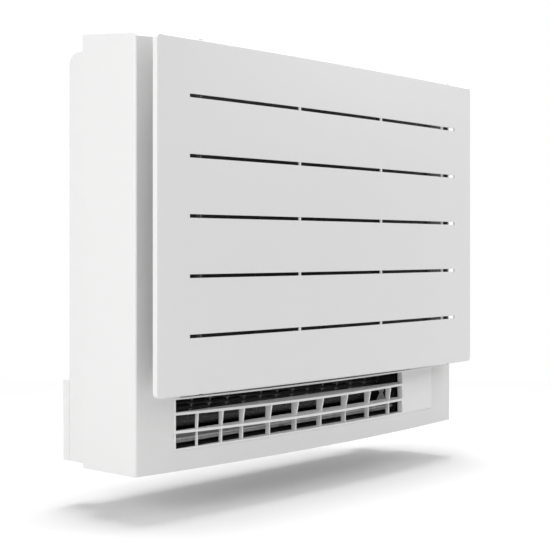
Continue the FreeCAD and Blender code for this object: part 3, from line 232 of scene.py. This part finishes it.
def tint(level, low, high):
    """A colour between two, as a level goes from 0 to 1."""
    return level.node("ShaderNodeMix", {"data_type": "RGBA"}, {
        0: level, 6: (*low, 1.0), 7: (*high, 1.0)}, output=2)


def relief(shader, level, height):
    """Raises the surface by height, in metres, where the level is 1."""
    feed(shader, "Normal", level.node("ShaderNodeBump", sockets={
        "Height": level, "Distance": height, "Strength": 1.0}))


def white_plastic(name, pale, deep, roughness, texture):
    """Satin white plastic, with the mould's spark texture and faint flow marks."""
    material, shader, place = finish(name, pale, roughness)
    flow = grain(place, 0.16)
    fine = grain(place, 0.0011, detail=1.0)
    feed(shader, "Base Color", tint(flow, deep, pale))
    feed(shader, "Roughness", roughness - 0.04 + fine * 0.05 + flow * 0.04)
    relief(shader, fine, texture)
    return material


def axis(place, name):
    """One coordinate of a place: X runs across the unit, Y to its back and Z upward."""
    return place.node("ShaderNodeSeparateXYZ", sockets={"Vector": place}, output=name)


def between(level, low, high):
    """1 where a level lies between two values, and 0 elsewhere."""
    return level.sum("GREATER_THAN", level, low) * level.sum("LESS_THAN", level, high)


def overlay(material, mask, colour):
    """Lays a colour over a material's own where the mask is 1."""
    shader = material.node_tree.nodes["Principled BSDF"]
    own = Level(material.node_tree, shader.inputs["Base Color"].links[0].from_socket)
    feed(shader, "Base Color", own.node("ShaderNodeMix", {"data_type": "RGBA"}, {
        0: mask, 6: own, 7: (*colour, 1.0)}, output=2))


def clad(material, *names):
    """Gives CAD parts their material."""
    for name in names:
        mesh = frame["nodes"][name].data
        mesh.materials.clear()
        mesh.materials.append(material)


def surface(piece, material, crease):
    """Shades a piece smooth up to its creases, in degrees, and gives it a material."""
    piece.data.shade_smooth()
    piece.data.set_sharp_from_angle(angle=radians(crease))
    piece.data.materials.append(material)


def stand_in(piece, node):
    """Puts a piece in the place of a CAD part, on the same body."""
    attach(piece, frame["nodes"][node]["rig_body"])
    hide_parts(node)


merge_reach = 1e-5


def skin(name, node, material, ease=None, crease=32.0):
    """A CAD part's own shape joined into one skin, shaded smooth, with its edges eased."""
    shape = bmesh.new()
    shape.from_mesh(frame["nodes"][node].data)
    bmesh.ops.remove_doubles(shape, verts=shape.verts, dist=merge_reach)
    piece = set_down(name, shape)
    surface(piece, material, crease)
    if ease:
        edges = piece.modifiers.new("eased_edges", "BEVEL")
        edges.width = ease
        edges.segments = 2
        edges.limit_method = "ANGLE"
        edges.angle_limit = radians(crease)
    even = piece.modifiers.new("even_shading", "WEIGHTED_NORMAL")
    even.keep_sharp = True
    even.weight = 100
    stand_in(piece, node)


casing_pale = (0.845, 0.845, 0.84)
casing_deep = (0.825, 0.826, 0.823)
# The colour of the painted shade behind the panel's slots.
slot_shade_black = (0.02, 0.02, 0.021)
window_half = 0.34
window_foot = 0.122
window_head = 0.553
window_front = -0.2
window_back = 0.0
shell_white = white_plastic("satin_white_shell", casing_pale, casing_deep, 0.42, 0.00002)
front_white = white_plastic("satin_white_front", casing_pale, casing_deep, 0.42, 0.00002)
front_place = position(front_white)
# Painted shade: the window frames and lattices behind the panel are coloured black, for the shadow that lies
# there.
window_shade_mask = (between(axis(front_place, "X"), -window_half, window_half)
                 * between(axis(front_place, "Z"), window_foot, window_head)
                 * between(axis(front_place, "Y"), window_front, window_back))
overlay(front_white, window_shade_mask, slot_shade_black)
skin("front_shell", "front_casing", front_white, ease=0.0006)
skin("back_shell", "rear_casing", shell_white, ease=0.0008)
clad(shell_white, "piping_cover_left", "piping_cover_right", "panel_hinge_bracket_left",
     "panel_hinge_bracket_right", "panel_latch_left", "panel_latch_right")


# The front panel: one large bowed moulding with five long air slots, hung on two pins
# at its foot and held at the top by two snap catches. The upright ribs behind the slots
# are coloured dark as painted shade, so that only the short bridges show in them.
# The colour of the painted shade on the ribs behind the slots.
rib_shade_dark = (0.035, 0.036, 0.038)
panel_curve = 6.575
rib_half = 0.003
middle_rib = 0.0995
outer_rib = 0.298
skin_back = 0.0027
skin_middle = 0.0011
rib_back = 0.05
panel_white = white_plastic("smooth_white_panel", (0.855, 0.855, 0.852), (0.84, 0.841, 0.839), 0.36, 0.00001)
panel_place = position(panel_white)
across_squared = axis(panel_place, "X") * axis(panel_place, "X")
behind_face = axis(panel_place, "Y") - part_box("front_panel")[0].y - across_squared / (2 * panel_curve)


def shaded_rib(place, start):
    """Painted shade: 1 on the two ribs that stand place from the middle, from start behind the face."""
    on_rib = between(across_squared, (place - rib_half) ** 2, (place + rib_half) ** 2)
    return on_rib * between(behind_face, start, rib_back)


# Painted shade on the ribs behind the slots.
overlay(panel_white, shaded_rib(middle_rib, skin_back) + shaded_rib(outer_rib, skin_middle), rib_shade_dark)
skin("slotted_panel", "front_panel", panel_white, ease=0.0006)


# The outlet grille: a curved insert with two long bars and nine upright fins, and a
# closed ridged plate beside them, moulded in a brighter white than the casing's. The
# shutter behind it is the same white.
grille_white = white_plastic("grille_white", (0.92, 0.92, 0.918), (0.905, 0.906, 0.904), 0.38, 0.00001)
skin("finned_grille", "lower_grille", grille_white, ease=0.0003)
skin("outlet_shutter", "lower_shutter", grille_white, ease=0.0003)


# Black mouldings: the air ways round the fans are black, so that nothing shows in the
# outlet but the fan, the shutter and the grille.
def dark_plastic(name, pale, deep, roughness):
    """Black plastic with a fine eggshell texture."""
    material, shader, place = finish(name, pale, roughness)
    fine = grain(place, 0.0015)
    feed(shader, "Base Color", tint(fine, deep, pale))
    feed(shader, "Roughness", roughness + fine * 0.12)
    relief(shader, fine, 0.00003)
    return material


outlet_black = dark_plastic("outlet_black", (0.014, 0.014, 0.015), (0.009, 0.009, 0.01), 0.5)
skin("lower_air_way", "lower_scroll", outlet_black)
skin("upper_air_way", "upper_scroll", outlet_black)
clad(outlet_black, "lower_tongue", "upper_tongue", "terminal_block")


# The cross-flow fans: long wheels of thin curved blades held by a ring every few
# centimetres, moulded in black and turning on a steel stub at each end. The rims of
# the rings carry a painted highlight, a lighter band where light catches them.
wheel_bays = 14
wheel_blades = 35
# The painted highlight on each ring's rim, and how wide it is.
ring_highlight_pale = (0.34, 0.34, 0.35)
ring_highlight_share = 0.022
blade_share = 0.2
bend_high_share = 0.35
bend_side_share = 0.62
ring_depth_share = 1.05
bay_filled_share = 0.97
blade_thick = 0.0011
blade_bend = radians(95)
bend_steps = 4
bay_turn = radians(3.1)
ring_thick = 0.0012
end_thick = 0.0022
ring_steps = 72
shaft_hole = 0.006
wheel_black = dark_plastic("wheel_black", (0.06, 0.06, 0.062), (0.045, 0.045, 0.047), 0.38)
wheel_low, wheel_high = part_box("lower_fan_wheel")
wheel_across = axis(position(wheel_black), "X") - wheel_low.x
bays_passed = wheel_across / ((wheel_high.x - wheel_low.x) / wheel_bays)
past_middle = bays_passed.sum("FRACT", bays_passed + 0.5)
# Painted highlight: a lighter band round each ring's rim.
overlay(wheel_black, between(past_middle, 0.5 - ring_highlight_share, 0.5 + ring_highlight_share), ring_highlight_pale)


def corners(geometry):
    """The vertices among what an operator made."""
    return [part for part in geometry if isinstance(part, bmesh.types.BMVert)]


def fan_wheel(name, node):
    """Builds one wheel in the space of its CAD part, blade by blade and ring by ring."""
    low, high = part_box(node)
    centre = (low + high) / 2
    radius = (high.z - low.z) / 2
    pitch = (high.x - low.x) / wheel_bays
    chord = radius * blade_share
    along = (1.0, 0.0, 0.0)
    middle = (0.0, 0.0, 0.0)
    shape = bmesh.new()
    root = bmesh.ops.create_vert(shape, co=(0.0, radius - chord, 0.0))["vert"]
    bmesh.ops.spin(shape, geom=root, cent=(0.0, radius - chord * bend_high_share, chord * bend_side_share),
                   axis=along, angle=blade_bend, steps=bend_steps, use_duplicate=False)
    side = bmesh.ops.extrude_edge_only(shape, edges=shape.edges[:])["geom"]
    bmesh.ops.translate(shape, verts=corners(side), vec=(pitch * bay_filled_share, 0.0, 0.0))
    bmesh.ops.recalc_face_normals(shape, faces=shape.faces)
    bmesh.ops.solidify(shape, geom=shape.faces[:], thickness=blade_thick)
    bmesh.ops.spin(shape, geom=shape.verts[:] + shape.edges[:] + shape.faces[:], cent=middle, axis=along,
                   angle=2 * pi * (wheel_blades - 1) / wheel_blades, steps=wheel_blades - 1,
                   use_duplicate=True)
    first_bay = shape.verts[:] + shape.edges[:] + shape.faces[:]
    for step in range(1, wheel_bays):
        bay = corners(bmesh.ops.duplicate(shape, geom=first_bay)["geom"])
        bmesh.ops.rotate(shape, verts=bay, cent=middle, matrix=Matrix.Rotation(bay_turn * step, 3, "X"))
        bmesh.ops.translate(shape, verts=bay, vec=(pitch * step, 0.0, 0.0))
    for step in range(wheel_bays + 1):
        at_end = step in (0, wheel_bays)
        thick = end_thick if at_end else ring_thick
        inner = shaft_hole if at_end else radius - chord * ring_depth_share
        place = min(max(step * pitch - thick / 2, 0.0), wheel_bays * pitch - thick)
        made_before = set(shape.faces)
        outer_corner = bmesh.ops.create_vert(shape, co=(place, radius, 0.0))["vert"][0]
        inner_corner = bmesh.ops.create_vert(shape, co=(place, inner, 0.0))["vert"][0]
        spoke = shape.edges.new((outer_corner, inner_corner))
        bmesh.ops.spin(shape, geom=[outer_corner, inner_corner, spoke], cent=middle, axis=along,
                       angle=2 * pi, steps=ring_steps, use_merge=True, use_duplicate=False)
        ring = [face for face in shape.faces if face not in made_before]
        raised = bmesh.ops.extrude_face_region(shape, geom=ring)["geom"]
        bmesh.ops.translate(shape, verts=corners(raised), vec=(thick, 0.0, 0.0))
    bmesh.ops.translate(shape, verts=shape.verts, vec=(low.x, centre.y, centre.z))
    bmesh.ops.recalc_face_normals(shape, faces=shape.faces)
    wheel = set_down(name, shape)
    surface(wheel, wheel_black, crease=30.0)
    stand_in(wheel, node)


fan_wheel("lower_blades", "lower_fan_wheel")
fan_wheel("upper_blades", "upper_fan_wheel")


# Bearings and shafts: each wheel turns on ground steel stubs, in a rubber block let
# into the left bulkhead and in the motor at the right.
steel_pale = (0.56, 0.56, 0.57)
steel_deep = (0.4816, 0.4816, 0.4902)
shaft_steel, steel_shader, steel_place = finish("ground_shaft_steel", steel_pale, 0.26, metallic=1.0)
ground_marks = grain(steel_place, 0.004, detail=3.0, stretch=(24.0, 0.4, 0.4))
feed(steel_shader, "Base Color", tint(ground_marks, steel_deep, steel_pale))
feed(steel_shader, "Roughness", ground_marks * 0.14 + 0.2)
skin("lower_stubs", "lower_fan_shafts", shaft_steel)
skin("upper_stubs", "upper_fan_shafts", shaft_steel)
bearing_rubber = dark_plastic("bearing_rubber", (0.05, 0.05, 0.05), (0.035, 0.035, 0.036), 0.7)
clad(bearing_rubber, "lower_bearing_block", "upper_bearing_block")


# Motors: coated steel cans pressed in two halves, and two small geared motors that
# swing the shutter and the flap.
motor_coat, motor_shader, motor_place = finish("motor_coating", (0.5, 0.51, 0.52), 0.38, metallic=0.35)
coat_dust = grain(motor_place, 0.012, detail=4.0)
feed(motor_shader, "Base Color", tint(coat_dust, (0.44, 0.45, 0.46), (0.53, 0.54, 0.55)))
feed(motor_shader, "Roughness", coat_dust * 0.2 + 0.28)
relief(motor_shader, grain(motor_place, 0.0009, detail=1.0), 0.00003)
for name, node in (("lower_motor_can", "lower_fan_motor"), ("upper_motor_can", "upper_fan_motor"),
                   ("shutter_drive", "shutter_motor"), ("flap_drive", "flap_motor")):
    skin(name, node, motor_coat, ease=0.0006)


# Sheet metal: the wall plate, the motor brackets, the electrical box and the heat
# exchanger's end plates are folded from galvanised sheet with a visible spangle.
sheet_zinc, zinc_shader, zinc_place = finish("galvanised_sheet", (0.62, 0.63, 0.64), 0.42, metallic=0.9)
spangle = zinc_place.node("ShaderNodeTexVoronoi", {"feature": "F1"}, {
    "Vector": zinc_place, "Scale": 95.0}, output="Color")
flake = zinc_place.node("ShaderNodeSeparateColor", sockets={"Color": spangle})
dull = grain(zinc_place, 0.05, detail=3.0)
feed(zinc_shader, "Base Color", tint(flake, (0.52, 0.53, 0.54), (0.68, 0.69, 0.7)))
feed(zinc_shader, "Roughness", flake * 0.16 + dull * 0.12 + 0.28)
relief(zinc_shader, flake, 0.00002)
clad(sheet_zinc, "wall_plate", "lower_motor_bracket", "upper_motor_bracket", "electrical_box",
     "electrical_cover", "coil_end_plate_left", "coil_end_plate_right")


# The heat exchanger: some two hundred and sixty thin aluminium fins with crimped edges,
# threaded on copper tubes whose bends show at both ends.
fin_pitch = 0.002
fin_thick = 0.0003
crimps = 40
crimp_deep = 0.0009
coil_low, coil_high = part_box("fin_block")
coil_size = coil_high - coil_low
fin_count = int(coil_size.x / fin_pitch) + 1
fin_shape = bmesh.new()
foot = bmesh.ops.create_vert(fin_shape, co=coil_low)["vert"]
for step in range(crimps):
    foot = bmesh.ops.extrude_vert_indiv(fin_shape, verts=foot)["verts"]
    lean = crimp_deep if step % 2 == 0 else -crimp_deep
    bmesh.ops.translate(fin_shape, verts=foot, vec=(0.0, lean, coil_size.z / crimps))
back = bmesh.ops.extrude_edge_only(fin_shape, edges=fin_shape.edges[:])["geom"]
bmesh.ops.translate(fin_shape, verts=corners(back), vec=(0.0, coil_size.y - crimp_deep, 0.0))
plate = bmesh.ops.extrude_face_region(fin_shape, geom=fin_shape.faces[:])["geom"]
bmesh.ops.translate(fin_shape, verts=corners(plate), vec=(fin_thick, 0.0, 0.0))
bmesh.ops.recalc_face_normals(fin_shape, faces=fin_shape.faces)
fin_stack = set_down("fin_stack", fin_shape)
rows = fin_stack.modifiers.new("rows_of_fins", "ARRAY")
rows.count = fin_count
rows.use_relative_offset = False
rows.use_constant_offset = True
rows.constant_offset_displace = ((coil_size.x - fin_thick) / (fin_count - 1), 0.0, 0.0)
fin_foil, foil_shader, foil_place = finish("fin_foil", (0.76, 0.78, 0.79), 0.34, metallic=0.85)
foil_age = grain(foil_place, 0.03, detail=4.0)
feed(foil_shader, "Base Color", tint(foil_age, (0.68, 0.7, 0.71), (0.79, 0.81, 0.82)))
feed(foil_shader, "Roughness", foil_age * 0.18 + 0.26)
fin_stack.data.materials.append(fin_foil)
stand_in(fin_stack, "fin_block")


# The pipework: drawn copper bends brazed to the heat exchanger, and two pipes that go
# down behind the casing to brass flare nuts.
copper, copper_shader, copper_place = finish("drawn_copper", (0.72, 0.4, 0.25), 0.3, metallic=1.0)
tarnish = grain(copper_place, 0.02, detail=4.0)
feed(copper_shader, "Base Color", tint(tarnish, (0.5, 0.25, 0.15), (0.78, 0.45, 0.29)))
feed(copper_shader, "Roughness", tarnish * 0.22 + 0.2)
for name, node in (("left_bends", "return_bends"), ("right_bends", "header_bends"),
                   ("gas_line", "gas_pipe"), ("liquid_line", "liquid_pipe")):
    skin(name, node, copper, crease=40.0)
brass, brass_shader, brass_place = finish("turned_brass", (0.75, 0.6, 0.3), 0.28, metallic=1.0)
turned = grain(brass_place, 0.003, detail=3.0, stretch=(0.5, 0.5, 14.0))
feed(brass_shader, "Base Color", tint(turned, (0.62, 0.48, 0.23), (0.78, 0.63, 0.33)))
feed(brass_shader, "Roughness", turned * 0.14 + 0.22)
clad(brass, "flare_nuts")


# The drain pan: moulded expanded foam, whose pressed beads show as a fine cell pattern,
# set under the heat exchanger.
foam, foam_shader, foam_place = finish("pressed_foam", (0.7, 0.71, 0.72), 0.82)
bead = foam_place.node("ShaderNodeTexVoronoi", {"feature": "DISTANCE_TO_EDGE"}, {
    "Vector": foam_place, "Scale": 300.0})
seam = foam_place.node("ShaderNodeMapRange", sockets={"Value": bead, "From Min": 0.0, "From Max": 0.12})
feed(foam_shader, "Base Color", tint(seam, (0.62, 0.63, 0.64), (0.72, 0.73, 0.74)))
relief(foam_shader, seam, 0.0002)
clad(foam, "drain_pan")


# Inner mouldings: the bulkheads, the upper duct, its vanes and the two links that swing
# them are plain light grey plastic, with a coarser mould texture than the casing. Below
# 0.15 m, where the bulkheads close the ends of the lower air way, they are coloured black.
lower_end_black = (0.02, 0.02, 0.021)
black_top = 0.15
inner_grey, inner_shader, inner_place = finish("inner_grey", (0.76, 0.77, 0.77), 0.5)
inner_fine = grain(inner_place, 0.0014)
feed(inner_shader, "Base Color", tint(grain(inner_place, 0.09), (0.73, 0.74, 0.74), (0.78, 0.79, 0.79)))
feed(inner_shader, "Roughness", inner_fine * 0.1 + 0.46)
relief(inner_shader, inner_fine, 0.00004)
# The inner grey is coloured black below 0.15 m.
overlay(inner_grey, between(axis(inner_place, "Z"), 0.0, black_top), lower_end_black)
clad(inner_grey, "bulkhead_left", "bulkhead_right", "upper_duct", "vane_link_left", "vane_link_right",
     *[f"upper_vane_{number}" for number in range(1, 9)])


# The upper flap: a long white moulded lid over the upper outlet, which swings up on pins
# between the front casing's two ears.
skin("top_flap", "upper_flap", shell_white, ease=0.0003)


# The air filters: black moulded lattices with a fine woven mesh across them, which is
# what shows through the panel's slots.
thread = 0.0016
mesh_black, weave_shader, weave_place = finish("filter_mesh_black", (0.035, 0.036, 0.038), 0.6)
warp = weave_place.sum("PINGPONG", axis(weave_place, "X") / thread, 0.5) * 2.0
weft = weave_place.sum("PINGPONG", axis(weave_place, "Z") / thread, 0.5) * 2.0
woven = warp.sum("MAXIMUM", warp, weft)
feed(weave_shader, "Base Color", tint(woven, (0.012, 0.012, 0.013), (0.05, 0.052, 0.055)))
relief(weave_shader, woven, 0.0003)
clad(mesh_black, "air_filter_left", "air_filter_right")


# The circuit board: green lacquer over copper tracks, which show as paler lines that
# turn at right angles.
tracks_per_metre = 110.0
board, board_shader, board_place = finish("lacquered_board", (0.05, 0.25, 0.12), 0.35)
upright = board_place.node("ShaderNodeMapping", sockets={
    "Vector": board_place, "Rotation": (pi / 2, 0.0, 0.0), "Scale": (tracks_per_metre,) * 3})
track = board_place.node("ShaderNodeTexBrick", {"offset": 0.37, "squash": 1.6, "squash_frequency": 3}, {
    "Vector": upright, "Color1": (0.03, 0.19, 0.08, 1.0), "Color2": (0.035, 0.22, 0.1, 1.0),
    "Mortar": (0.1, 0.36, 0.18, 1.0), "Scale": 1.0, "Mortar Size": 0.06, "Mortar Smooth": 0.1}, "Color")
feed(board_shader, "Base Color", track)
clad(board, "circuit_board")
